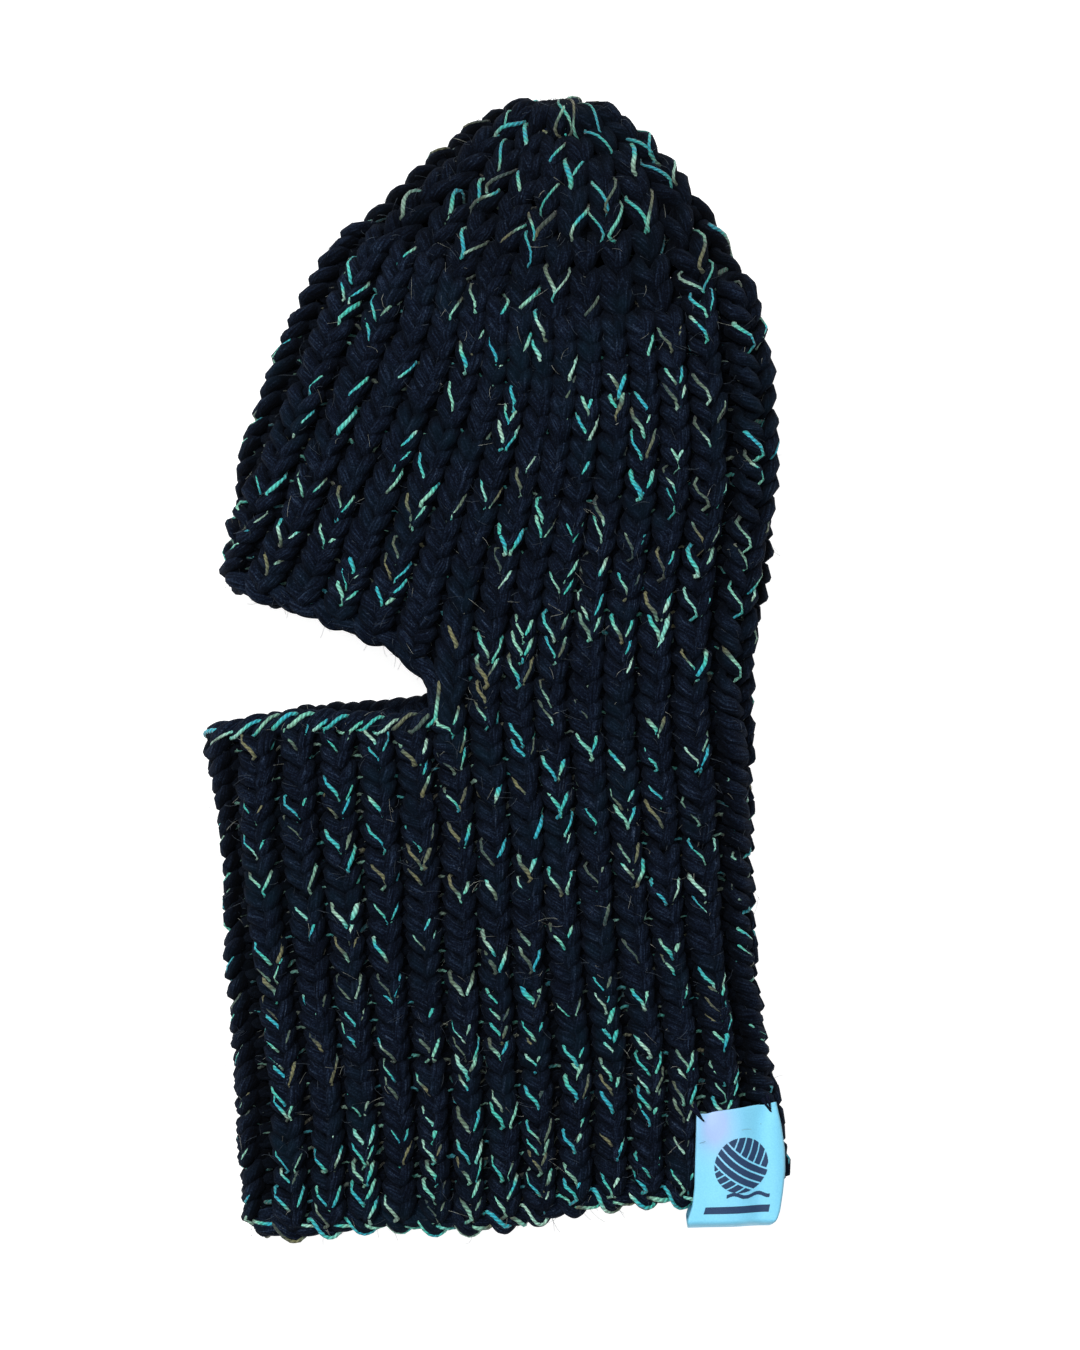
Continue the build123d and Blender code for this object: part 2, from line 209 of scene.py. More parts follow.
def fabric_point(u, v, z, side):
    """Place (column, row, height) on the fabric. side says which way the opening's
    columns belong: -1 to the neck below it, +1 to the hood above it."""
    pn, nn = sample(NECK_MAP, u, v)
    ph, nh = sample(HEAD_MAP, u, v)
    slit = in_slit(u)
    t = np.clip((v - NECK_ROWS + 0.5), 0, 1)
    t = t * t * (3 - 2 * t)
    t = np.where(slit, 1.0 if side > 0 else 0.0, t)[..., None]
    p = pn * (1 - t) + ph * t
    n = nn * (1 - t) + nh * t
    n /= np.linalg.norm(n, axis=-1, keepdims=True) + 1e-9
    return p + n * z[..., None], n


# ------------------------------------------------------------------ stitches
# One knit stitch, left to right: columns, rows, height, thickness. The left leg lies over
# at a slant, the right leg stands nearly straight, as in this fabric.
RIB_STITCH = np.array([
    (-0.25, -0.34, 0.0, 0.90), (-0.085, -0.20, 2.1, 0.93), (0.045, 0.08, 3.4, 1.00),
    (-0.10, 0.38, 4.9, 1.06), (-0.255, 0.68, 4.9, 1.07), (-0.345, 0.94, 3.1, 0.98),
    (-0.23, 1.25, 0.4, 0.90), (0.00, 1.36, -0.5, 0.88), (0.20, 1.26, 0.6, 0.90),
    (0.300, 0.96, 3.2, 0.96), (0.230, 0.60, 4.8, 1.02), (0.125, 0.20, 5.0, 1.03),
    (0.085, -0.15, 2.6, 0.93)])
FLAT_STITCH = np.array([
    (-0.50, -0.27, -1.9, 0.92), (-0.24, -0.15, -0.6, 0.96), (-0.02, 0.09, 1.2, 1.04),
    (-0.12, 0.42, 2.7, 1.12), (-0.25, 0.78, 2.6, 1.12), (-0.345, 1.04, 0.8, 1.0),
    (-0.25, 1.22, -1.2, 0.92), (0.00, 1.30, -2.0, 0.90), (0.25, 1.22, -1.1, 0.92),
    (0.345, 1.02, 1.0, 1.0), (0.255, 0.70, 2.7, 1.12), (0.13, 0.32, 2.8, 1.12),
    (0.04, 0.05, 1.4, 1.04), (0.24, -0.15, -0.5, 0.96)])


def catmull(ctrl, n, period=None):
    """n points along a curve through ctrl (m, k). With a period it closes on itself,
    the first coordinate having grown by the period."""
    m = len(ctrl)
    if period is None:
        first = 2 * ctrl[0] - ctrl[1]
        last = 2 * ctrl[-1] - ctrl[-2]
        pad = np.concatenate([first[None], ctrl, last[None], last[None]])
        t = np.linspace(0, m - 1, n)
    else:
        step = np.zeros(ctrl.shape[1])
        step[0] = period
        pad = np.concatenate([ctrl[-1:] - step, ctrl, ctrl[:2] + step])
        t = np.arange(n) * m / n
    i = np.clip(np.floor(t).astype(int), 0, len(pad) - 4)
    f = (t - i)[:, None]
    p0, p1, p2, p3 = pad[i], pad[i + 1], pad[i + 2], pad[i + 3]
    return 0.5 * (2 * p1 + (p2 - p0) * f + (2 * p0 - 5 * p1 + 4 * p2 - p3) * f**2
                  + (3 * p1 - p0 - 3 * p2 + p3) * f**3)


def wander(n, length, amount):
    """A closed smooth random wander along n points."""
    k = max(4, int(round(n / length)))
    vals = rng.normal(0, 1, k)
    t = np.arange(n) / n * k
    i = np.floor(t).astype(int)
    f = t - i
    f = f * f * (3 - 2 * f)
    return amount * (vals[i % k] * (1 - f) + vals[(i + 1) % k] * f)


def stitches_in(row):
    """(kind, ribs per stitch) of a course: rib, then plain stitches as the crown narrows."""
    if row < NECK_ROWS + 19:
        return "rib", 1
    if row < NECK_ROWS + 22:
        return "flat", RIBS / round(RIBS / 1.45)
    if row < NECK_ROWS + 25:
        return "flat", RIBS / round(RIBS / 1.9)
    return "flat", RIBS / round(RIBS / 2.4)


def course(row):
    """The yarn of one course as (column, row, height, thickness) on a closed line, and the
    angle at which the thin strand lies round it: 0 faces out of the fabric."""
    kind, width = stitches_in(row)
    ctrl, goals, at = [], [], 0
    shown = np.interp(row, (0, 10, 16, 38, 44, 47, 55), (0.55, 0.52, 0.36, 0.22, 0.20, 0.26, 0.28))

    def strand_goals(start, left, right):
        """Angles along the two legs: on the face of the fabric, or out of sight."""
        for seen, first, last, lean in ((left, 2, 5, -24), (right, 9, 12, 32)):
            mid = rng.normal(0, 13) if seen else 180 + rng.normal(0, 35)
            turn = lean if seen else 25
            goals.append((start + first, mid - turn))
            goals.append((start + last, mid + turn))

    if kind == "rib":
        spread = 0.82 + 0.13 * np.clip((row - 10) / 6.0, 0, 1) + 0.10 * np.clip(1 - row / 2.0, 0, 1)
        loose = (0.014, 0.040, 0.20, 0.035)
        for k in range(RIBS):
            left = rng.random() < shown + 0.08
            right = rng.random() < (0.66 if left else 0.22)
            strand_goals(at, left, right)
            s = RIB_STITCH.copy()
            s[1:, 0] *= spread * rng.normal(1.0, 0.07)
            s[2:-1, 1] += rng.normal(0, 0.07)
            s[2:-1, 0] += rng.normal(0, 0.018)
            s[1:, 2] += rng.normal(0, 0.25)
            ctrl.append(s + rng.normal(0, 1, s.shape) * loose + (k + 0.5, row, 0, 0))
            at += len(s)
            # the purl stitch: its bars lie across the groove, some with the strand in front
            bar = rng.random() < 0.30
            goals.append((at + 7, 180 + rng.normal(0, 30) if bar else rng.normal(0, 40)))
            p = RIB_STITCH * (1, 1, -1, 0.96)
            ctrl.append(p + rng.normal(0, 1, p.shape) * loose + (k + 1.0, row, 0, 0))
            at += len(p)
        n = RIBS * PER_RIB
    else:
        big = 1.04 if width < 1.7 else 1.08
        loose = (0.018 * width, 0.04, 0.25, 0.04)
        for k in range(round(RIBS / width)):
            left = rng.random() < shown + 0.08
            strand_goals(at, left, rng.random() < (0.66 if left else 0.25))
            s = FLAT_STITCH * (width, 1, 1, big)
            s[2:-1, 1] += rng.normal(0, 0.06)
            # the stitches that turn over the two folds lie flatter
            s[:, 2] *= 0.6 + 0.4 * abs(math.sin(2 * math.pi * (k + 0.5) * width / RIBS))
            ctrl.append(s + rng.normal(0, 1, s.shape) * loose + ((k + 0.5) * width, row, 0, 0))
            at += len(s)
        n = round(RIBS / width) * 24
    pts = catmull(np.concatenate(ctrl), n, RIBS)
    if NECK_ROWS + 17 <= row < NECK_ROWS + 22:
        # loops are bunched where the ribs are knitted together
        pts[:, 3] *= 1.07
    drift = wander(n, PER_RIB * 2.5, 0.10)
    pts = pts + np.stack([0 * drift, drift, 0 * drift, 0 * drift], -1)
    # join the wanted angles by the shorter way round
    spots, angles = [], []
    for spot, goal in goals + [(goals[0][0] + at, goals[0][1])]:
        if angles:
            goal = angles[-1] + (goal - angles[-1] + 180) % 360 - 180
        spots.append(spot)
        angles.append(goal)
    t = np.arange(n) * at / n
    t = np.where(t < spots[0], t + at, t)
    return pts, np.radians(np.interp(t, spots, angles))


def unit(a):
    return a / (np.linalg.norm(a, axis=-1, keepdims=True) + 1e-12)


def frames(p, closed):
    """Tangents and two cross directions carried along a line without twisting."""
    n = len(p)
    t = unit(np.roll(p, -1, 0) - np.roll(p, 1, 0)) if closed else unit(np.gradient(p, axis=0))
    up = np.array([0.0, 0, 1.0]) if abs(t[0, 2]) < 0.9 else np.array([1.0, 0, 0])
    e = np.empty_like(p)
    cur = up - t[0] * (up @ t[0])
    cur /= np.linalg.norm(cur)
    e[0] = cur
    tt = t
    for i in range(1, n):
        cur = cur - tt[i] * (cur @ tt[i])
        cur = cur / math.sqrt(cur @ cur)
        e[i] = cur
    if closed:
        last = e[-1] - t[0] * (e[-1] @ t[0])
        last /= np.linalg.norm(last)
        ang = math.atan2(np.cross(e[0], last) @ t[0], e[0] @ last)
        turn = -ang * np.arange(n) / n
        f = np.cross(t, e)
        e = e * np.cos(turn)[:, None] + f * np.sin(turn)[:, None]
    return t, e, np.cross(t, e)


def painted_crease_shade(level, facing, thick):
    """Painted shade for the creases: 1 on the face of the fabric down to almost 0 deep between the yarns, on either
    side; the thick yarn is also darkened where its side turns away from the face.
    """
    def one(lv, fc):
        deep = 0.06 + 0.94 * np.clip((lv - 0.14) / 0.90, 0, 1) ** 1.4
        turned = 0.14 + 0.86 * np.clip(fc, 0, 1) ** 1.25 if thick else 1.0
        return deep * turned
    return np.maximum(one(level, facing), one(-level, -facing))


class Tubes:
    """Gathers many tubes into one mesh, with a baking layout and lengths along them."""

    def __init__(self, sides, radius):
        self.sides, self.radius = sides, radius
        self.items = []

    def add(self, p, closed, radius=None, lobes=0.0, twist=0.0, start=0.0, out=None, depth=None,
            shade=1.0):
        """out and depth, along the line, tell how deep in the fabric each part lies, for the painted crease shade;
        where they are not given, shade is used as the painted shade factor.
        """
        self.items.append((np.asarray(p, float), closed, radius, lobes, twist, start, out, depth,
                           shade))

    def build(self, name, material):
        m = self.sides
        lengths = []
        for p, closed, *_ in self.items:
            q = np.concatenate([p, p[:1]]) if closed else p
            lengths.append(np.linalg.norm(np.diff(q, axis=0), axis=1).sum())
        around = 2 * math.pi * self.radius
        cap = sum(lengths) / max(1.0, math.sqrt(sum(lengths) / around))
        bands = [max(1, int(round(l / cap))) for l in lengths]
        total = sum(bands)
        verts, quads, bake, along, caps, painted_shade_values = [], [], [], [], [], []
        base = band0 = 0
        for (p, closed, radius, lobes, twist, start, out, depth, shade), nb in zip(self.items,
                                                                                   bands):
            n = len(p)
            t, e, f = frames(p, closed)
            r = np.full(n, self.radius) if radius is None else np.broadcast_to(radius, (n,))
            th = np.arange(m) * 2 * math.pi / m
            q = np.concatenate([p, p[:1]]) if closed else p
            seg = np.linalg.norm(np.diff(q, axis=0), axis=1)
            s = np.concatenate([[0], np.cumsum(seg)])
            rr = r[:, None] * (1 + lobes * np.cos(2 * th[None] - twist * s[:n, None]))
            ring = (p[:, None] + rr[..., None] * (np.cos(th)[None, :, None] * e[:, None]
                                                 + np.sin(th)[None, :, None] * f[:, None]))
            # nothing sinks into the table it lies on
            ring[..., 2] = np.maximum(ring[..., 2], 0.05)
            verts.append(ring.reshape(-1, 3))
            # painted shade per vertex, later multiplied into the colour: darker deep between the yarns, or the given
            # shade factor
            if out is None:
                painted_shade_values.append(np.repeat(np.broadcast_to(shade, (n,)), m))
            else:
                facing = (np.cos(th)[None] * (e * out).sum(-1)[:, None]
                          + np.sin(th)[None] * (f * out).sum(-1)[:, None])
                level = (np.asarray(depth)[:, None] + rr * facing) / HALF
                painted_shade_values.append(painted_crease_shade(level, facing, self.radius > 1.5).reshape(-1))
            last = n if closed else n - 1
            i = np.repeat(np.arange(last), m)
            j = np.tile(np.arange(m), last)
            i2, j2 = (i + 1) % n, (j + 1) % m
            quads.append(base + np.stack([i * m + j, i * m + j2, i2 * m + j2, i2 * m + j], -1))
            per = last / nb
            b = np.minimum((i / per).astype(int), nb - 1)
            u0, u1 = (i - b * per) / per, (i + 1 - b * per) / per
            u0, u1 = 0.002 + 0.996 * np.clip(u0, 0, 1), 0.002 + 0.996 * np.clip(u1, 0, 1)
            v0 = (band0 + b + 0.07 + 0.86 * j / m) / total
            v1 = (band0 + b + 0.07 + 0.86 * (j + 1) / m) / total
            bake.append(np.stack([u0, v0, u0, v1, u1, v1, u1, v0], -1).reshape(-1, 2))
            a0, a1 = start + s[i], start + s[i + 1]
            w0, w1 = j * around / m, (j + 1) * around / m
            along.append(np.stack([a0, w0, a0, w1, a1, w1, a1, w0], -1).reshape(-1, 2))
            if not closed:
                caps.append((base + np.arange(m)[::-1], (0.001, v0[0]), start))
                caps.append((base + (n - 1) * m + np.arange(m), (0.999, v0[-1]), start + s[-1]))
            base += n * m
            band0 += nb
        verts = np.concatenate(verts) * MM
        quads = np.concatenate(quads)
        bake, along = np.concatenate(bake), np.concatenate(along)
        loops = quads.reshape(-1)
        starts = np.arange(len(quads)) * 4
        counts = np.full(len(quads), 4)
        for ids, uv, s in caps:
            starts = np.append(starts, len(loops))
            counts = np.append(counts, len(ids))
            loops = np.append(loops, ids)
            spot = np.array(uv) + np.stack([np.cos(np.arange(m)), np.sin(np.arange(m))], -1) * 4e-4
            bake = np.concatenate([bake, spot])
            along = np.concatenate([along, np.full((m, 2), s)])
        obj = make_mesh(name, verts, loops, starts, counts, material,
                        {"OFBake": bake, "Along": along})
        # the painted shade values, read by the materials to darken the colour
        layer = obj.data.attributes.new("PaintedShade", "FLOAT", "POINT")
        layer.data.foreach_set("value", np.concatenate(painted_shade_values).astype(np.float32))
        return obj


def make_mesh(name, verts, loops, starts, counts, material, uvs=None, smooth=True):
    mesh = bpy.data.meshes.new(name)
    mesh.vertices.add(len(verts))
    mesh.vertices.foreach_set("co", np.ascontiguousarray(verts, np.float32).ravel())
    mesh.loops.add(len(loops))
    mesh.loops.foreach_set("vertex_index", np.ascontiguousarray(loops, np.int32))
    mesh.polygons.add(len(starts))
    mesh.polygons.foreach_set("loop_start", np.ascontiguousarray(starts, np.int32))
    mesh.polygons.foreach_set("loop_total", np.ascontiguousarray(counts, np.int32))
    mesh.polygons.foreach_set("use_smooth", np.full(len(starts), smooth))
    for key, co in (uvs or {}).items():
        layer = mesh.uv_layers.new(name=key)
        layer.data.foreach_set("uv", np.ascontiguousarray(co, np.float32).ravel())
    mesh.update(calc_edges=True)
    mesh.validate()
    obj = bpy.data.objects.new(name, mesh)
    bpy.context.scene.collection.objects.link(obj)
    mesh.materials.append(material)
    return obj


# ------------------------------------------------------------------ materials
def lin(r, g, b):
    """A colour given as 0-255 display values, in the renderer's linear values."""
    out = []
    for c in (r, g, b):
        c /= 255
        out.append(c / 12.92 if c <= 0.04045 else ((c + 0.055) / 1.055) ** 2.4)
    return (*out, 1.0)


class Nodes:
    def __init__(self, name, **values):
        self.mat = bpy.data.materials.new(name)
        self.mat.use_nodes = True
        self.tree = self.mat.node_tree
        self.bsdf = self.tree.nodes["Principled BSDF"]
        for key, value in values.items():
            self.bsdf.inputs[key.replace("_", " ")].default_value = value

    def new(self, kind, **props):
        node = self.tree.nodes.new(kind)
        for key, value in props.items():
            setattr(node, key, value)
        return node

    def link(self, a, b):
        self.tree.links.new(a, b)

    def math(self, op, a, b=None, c=None):
        node = self.new("ShaderNodeMath", operation=op)
        for i, x in enumerate((a, b, c)):
            if x is None:
                continue
            if isinstance(x, (int, float)):
                node.inputs[i].default_value = x
            else:
                self.link(x, node.inputs[i])
        return node.outputs[0]

    def noise(self, vector, scale, detail=3.0, rough=0.55, distortion=0.0):
        node = self.new("ShaderNodeTexNoise")
        node.inputs["Scale"].default_value = scale
        node.inputs["Detail"].default_value = detail
        node.inputs["Roughness"].default_value = rough
        node.inputs["Distortion"].default_value = distortion
        self.link(vector, node.inputs["Vector"])
        return node.outputs["Fac"]

    def ramp(self, fac, stops, interpolation="LINEAR"):
        node = self.new("ShaderNodeValToRGB")
        node.color_ramp.interpolation = interpolation
        el = node.color_ramp.elements
        while len(el) < len(stops):
            el.new(0.5)
        for e, (pos, col) in zip(el, stops):
            e.position = pos
            e.color = col
        self.link(fac, node.inputs["Fac"])
        return node.outputs["Color"]

    def mix(self, fac, a, b, mode="MIX"):
        node = self.new("ShaderNodeMix", data_type="RGBA", blend_type=mode)
        for key, x in ((0, fac), (6, a), (7, b)):
            if isinstance(x, (int, float, tuple)):
                node.inputs[key].default_value = x
            else:
                self.link(x, node.inputs[key])
        return node.outputs[2]

    def bump(self, height, strength, distance, normal=None):
        node = self.new("ShaderNodeBump")
        node.inputs["Strength"].default_value = strength
        node.inputs["Distance"].default_value = distance
        self.link(height, node.inputs["Height"])
        if normal is not None:
            self.link(normal, node.inputs["Normal"])
        return node.outputs["Normal"]

    def combine(self, x, y, z=0.0):
        node = self.new("ShaderNodeCombineXYZ")
        for i, s in enumerate((x, y, z)):
            if isinstance(s, (int, float)):
                node.inputs[i].default_value = s
            else:
                self.link(s, node.inputs[i])
        return node.outputs[0]


def grey(v):
    return (v, v, v, 1.0)


def yarn_material(name, dark=(2, 4, 9), mid=(10, 17, 31), light=(36, 49, 70), teal=(7, 27, 37)):
    """Felted bulky yarn: soft twisted fibres, a navy that wanders towards teal."""
    n = Nodes(name, Roughness=0.95, Sheen_Weight=0.05, Sheen_Roughness=0.5,
              Sheen_Tint=lin(110, 135, 175), Specular_IOR_Level=0.05)
    uv = n.new("ShaderNodeUVMap", uv_map="Along").outputs[0]
    sep = n.new("ShaderNodeSeparateXYZ")
    n.link(uv, sep.inputs[0])
    x, y = sep.outputs[0], sep.outputs[1]
    obj = n.new("ShaderNodeTexCoord").outputs["Object"]
    # fibres: long streaks lying at the twist's slant
    slant = n.math("ADD", y, n.math("MULTIPLY", x, 0.42))
    streak = n.combine(n.math("MULTIPLY", x, 0.16), n.math("MULTIPLY", slant, 1.5))
    fibre = n.noise(streak, 1.0, 4.0, 0.62, 0.35)
    ply = n.noise(n.combine(n.math("MULTIPLY", x, 0.05), n.math("MULTIPLY", slant, 0.42)), 1.0, 1.0)
    fuzz = n.noise(obj, 1700.0, 3.0, 0.8)
    patch = n.noise(obj, 42.0, 2.0, 0.5)
    tone = n.math("ADD", n.math("MULTIPLY", fibre, 0.50), n.math("MULTIPLY", fuzz, 0.50))
    col = n.ramp(tone, [(0.36, lin(*dark)), (0.50, lin(*mid)), (0.60, lin(*light)),
                        (0.70, lin(92, 108, 128))])
    tint = n.ramp(patch, [(0.50, grey(0.0)), (0.72, grey(0.55))])
    col = n.mix(tint, col, lin(*teal))
    shade = n.ramp(ply, [(0.30, grey(0.72)), (0.62, grey(1.0))])
    col = n.mix(1.0, col, shade, "MULTIPLY")
    # painted shade: the colour is multiplied by the per-vertex crease and under-layer shadow values
    painted_shade_fac = n.new("ShaderNodeAttribute", attribute_name="PaintedShade", attribute_type="GEOMETRY").outputs["Fac"]
    col = n.mix(1.0, col, n.combine(painted_shade_fac, painted_shade_fac, painted_shade_fac), "MULTIPLY")
    n.link(col, n.bsdf.inputs["Base Color"])
    normal = n.bump(fibre, 0.6, 0.0006)
    normal = n.bump(ply, 0.3, 0.0009, normal)
    normal = n.bump(fuzz, 0.8, 0.0004, normal)
    n.link(normal, n.bsdf.inputs["Normal"])
    return n.mat


def thread_material():
    """Thin two-ply strand whose colour runs from turquoise through mint and olive to pale."""
    n = Nodes("variegated_strand", Roughness=0.55, Specular_IOR_Level=0.35,
              Sheen_Weight=0.15, Sheen_Roughness=0.5)
    uv = n.new("ShaderNodeUVMap", uv_map="Along").outputs[0]
    sep = n.new("ShaderNodeSeparateXYZ")
    n.link(uv, sep.inputs[0])
    x, y = sep.outputs[0], sep.outputs[1]
    run = n.noise(n.combine(n.math("MULTIPLY", x, 0.028), 3.7), 1.0, 1.0, 0.4)
    col = n.ramp(run, [(0.28, lin(52, 66, 58)), (0.34, lin(118, 118, 80)), (0.39, lin(70, 92, 80)),
                       (0.43, lin(140, 205, 180)), (0.48, lin(60, 190, 172)), (0.53, lin(26, 166, 190)),
                       (0.57, lin(70, 196, 184)), (0.61, lin(168, 216, 196)), (0.65, lin(90, 112, 92)),
                       (0.72, lin(44, 70, 68))])
    ply = n.math("SINE", n.math("ADD", n.math("MULTIPLY", x, 3.3), n.math("MULTIPLY", y, 3.03)))
    ply = n.math("ADD", n.math("MULTIPLY", ply, 0.5), 0.5)
    fray = n.noise(n.combine(n.math("MULTIPLY", x, 1.5), n.math("MULTIPLY", y, 3.0)), 1.0, 3.0, 0.7)
    shade = n.ramp(n.math("ADD", n.math("MULTIPLY", ply, 0.6), n.math("MULTIPLY", fray, 0.4)),
                   [(0.15, grey(0.42)), (0.55, grey(0.95)), (0.9, grey(1.0))])
    col = n.mix(1.0, col, shade, "MULTIPLY")
    # painted shade: the strand's colour is darkened where it lies deep between the yarns
    painted_shade_fac = n.new("ShaderNodeAttribute", attribute_name="PaintedShade", attribute_type="GEOMETRY").outputs["Fac"]
    col = n.mix(1.0, col, n.combine(painted_shade_fac, painted_shade_fac, painted_shade_fac), "MULTIPLY")
    n.link(col, n.bsdf.inputs["Base Color"])
    n.link(n.bump(ply, 0.8, 0.0004, n.bump(fray, 0.4, 0.0002)), n.bsdf.inputs["Normal"])
    return n.mat


YARN = yarn_material("navy_bulky_yarn")
THREAD = thread_material()


def plain_fibre(name, a, b):
    n = Nodes(name, Roughness=0.85, Specular_IOR_Level=0.2)
    obj = n.new("ShaderNodeTexCoord").outputs["Object"]
    n.link(n.ramp(n.noise(obj, 300.0, 1.0), [(0.35, lin(*a)), (0.65, lin(*b))]),
           n.bsdf.inputs["Base Color"])
    return n.mat


HALO = plain_fibre("yarn_halo_fibre", (24, 32, 44), (84, 94, 104))
STRAY = plain_fibre("pale_stray_fibre", (96, 100, 96), (176, 180, 170))


# ------------------------------------------------------------------ knit the hood
def place(pts, side):
    return fabric_point(pts[:, 0], pts[:, 1], pts[:, 2], side)


courses = {}
for row in range(TOP):
    pts, roll = course(row)
    courses[row] = (*place(pts, -1 if row < NECK_ROWS else 1), pts[:, 3], pts[:, 2], roll)

ZONES = [
    ("knit_hem", [0], ["neck_hem_edge"]),
    ("knit_neck_lower", range(1, 14), ["neck_lower"]),
    ("knit_neck_upper", range(14, 27), ["neck_upper"]),
    ("knit_chin", [27], ["chin_edge"]),
    ("knit_brow", [28], ["brow_edge"]),
    ("knit_hood_lower", range(29, 41), ["hood_lower"]),
    ("knit_hood_upper", range(41, 47), ["hood_upper"]),
    ("knit_crown", range(47, TOP), ["crown"]),
]
pieces = {}
surface_spots = []
for name, rows, nodes in ZONES:
    yarn, strand = Tubes(SIDES, R_YARN), Tubes(THREAD_SIDES, R_THREAD)
    for row in rows:
        p, n, thick, height, roll = courses[row]
        count = len(p)
        r = R_YARN * (thick + wander(count, 9, 0.03) + wander(count, 60, 0.03))
        yarn.add(p, True, r, start=rng.uniform(0, 4000), out=n, depth=height)
        # the thin strand lies along the yarn, on its face in some stitches and hidden in others
        t = unit(np.roll(p, -1, 0) - np.roll(p, 1, 0))
        out = unit(n - t * (n * t).sum(-1, keepdims=True))
        side = np.cross(t, out)
        roll = roll + wander(count, 12, 0.16)
        off = (r + 0.02 + 0.30 * np.cos(roll))[:, None]
        q = p + off * (np.cos(roll)[:, None] * out + np.sin(roll)[:, None] * side)
        q = 0.5 * q + 0.25 * (np.roll(q, 1, 0) + np.roll(q, -1, 0))
        strand.add(q, True, R_THREAD * np.clip(1 + wander(count, 10, 0.22), 0.45, 1.5), 0.16, 1.9,
                   start=rng.uniform(0, 4000), out=n, depth=height + off[:, 0] * np.cos(roll))
        keep = rng.choice(count, size=max(8, count // 6), replace=False)
        for k in keep:
            surface_spots.append((p[k], n[k], t[k], r[k]))
    pieces[name] = (yarn, strand, nodes)


# ------------------------------------------------------------------ edges
def rope(row, u_low, u_high, side, closed, hand, rise, depth, scallop, z0=0.0, per=22, period=1.0,
         phase=0.0, droop=0.0):
    """Two strands laid round each other along an edge. rise and scallop in rows, depth in mm."""
    n = int(abs(u_high - u_low) * per)
    u = u_low + (u_high - u_low) * np.arange(n) / (n if closed else n - 1)
    out = []
    for k in (0, 1):
        a = hand * 2 * math.pi * (u / period) + phase + math.pi * k
        wob = wander(n, per * 2, 0.05)
        v = row + rise * np.cos(a) - scallop * np.cos(2 * math.pi * (u - 0.5)) + wob
        v = v - droop * np.exp(-(u / 0.75) ** 2)
        z = z0 + depth * np.sin(a)
        out.append(fabric_point(u, v, z, side))
    return out


def add_strand(strand, p, n, r_at, closed, amount=1.0, centre=None):
    count = len(p)
    t = unit(np.roll(p, -1, 0) - np.roll(p, 1, 0)) if closed else unit(np.gradient(p, axis=0))
    out = unit(n - t * (n * t).sum(-1, keepdims=True))
    side = np.cross(t, out)
    roll = wander(count, 24, amount) + wander(count, 90, 1.2) if centre is None \
        else centre + wander(count, 24, 0.35)
    q = p + (r_at - 0.10) * (np.cos(roll)[:, None] * out + np.sin(roll)[:, None] * side)
    strand.add(q, closed, R_THREAD * np.clip(1 + wander(count, 10, 0.22), 0.45, 1.5), 0.16, 1.9,
               start=rng.uniform(0, 4000))


# painted shadow: a colour factor for edge yarn, darker where it lies low on the lower layer of the hood, under the
# upper one
def painted_under_shadow(p):
    lower = np.clip((16 - p[:, 2]) / 5, 0, 1) * (p[:, 1] > -60)
    return 0.85 - 0.6 * lower


def edge_piece(zone, lines, closed, r, accent=True, centre=None):
    yarn, strand, nodes = pieces[zone]
    for p, n in lines:
        # on the lower layer of the hood an edge lies in the dark under the upper one; its colour is darkened there as
        # painted shadow
        yarn.add(p, closed, r * (1 + wander(len(p), 11, 0.04)), start=rng.uniform(0, 4000),
                 shade=painted_under_shadow(p))
        if accent:
            add_strand(strand, p, n, r + 0.15, closed, centre=centre)
        for k in rng.choice(len(p), size=len(p) // 6, replace=False):
            surface_spots.append((p[k], n[k], unit(p[(k + 1) % len(p)] - p[k]), r))


# cast-on: the two strands of the hem's first row, dipping under each knit rib
edge_piece("knit_hem", rope(-0.36, 0.0, float(RIBS), -1, True, 1, 0.30, 2.3, 0.20), True, 2.55)
# the cast-on tail, carried back through the first rib at the front fold
u_t = np.linspace(-1.9, 2.1, 60)
edge_piece("knit_hem", [fabric_point(u_t, 0.28 + 0.06 * np.sin(2.2 * u_t),
                                     -1.6 + 2.3 * np.exp(-((u_t - 0.5) / 0.6) ** 2), -1)],
           False, 2.5, accent=False)
# bind-off along the chin: short overlapped strands leaning up to the right
edge_piece("knit_chin", rope(NECK_ROWS + 0.42, SLIT_LOW, SLIT_HIGH, -1, False, -1, 0.30, 2.9, 0.0,
                             z0=0.7, period=0.92, droop=0.42), False, 2.75, centre=0.25)
# brow: one firm strand inside the edge, and the picked-up loops over it
n_b = int((SLIT_HIGH - SLIT_LOW) * 20)
u_b = np.linspace(SLIT_LOW, SLIT_HIGH, n_b)
v_b = NECK_ROWS - 0.38 + 0.10 * np.cos(2 * math.pi * (u_b - 0.5))
edge_piece("knit_brow", rope(NECK_ROWS - 0.34, SLIT_LOW, SLIT_HIGH, 1, False, 1, 0.20, 2.6, 0.15,
                             z0=0.3, period=1.15), False, 2.9, accent=False)
edge_piece("knit_brow", [fabric_point(u_b, v_b + 0.25, 0.4 + 0 * u_b, 1)], False, 2.6, accent=False)

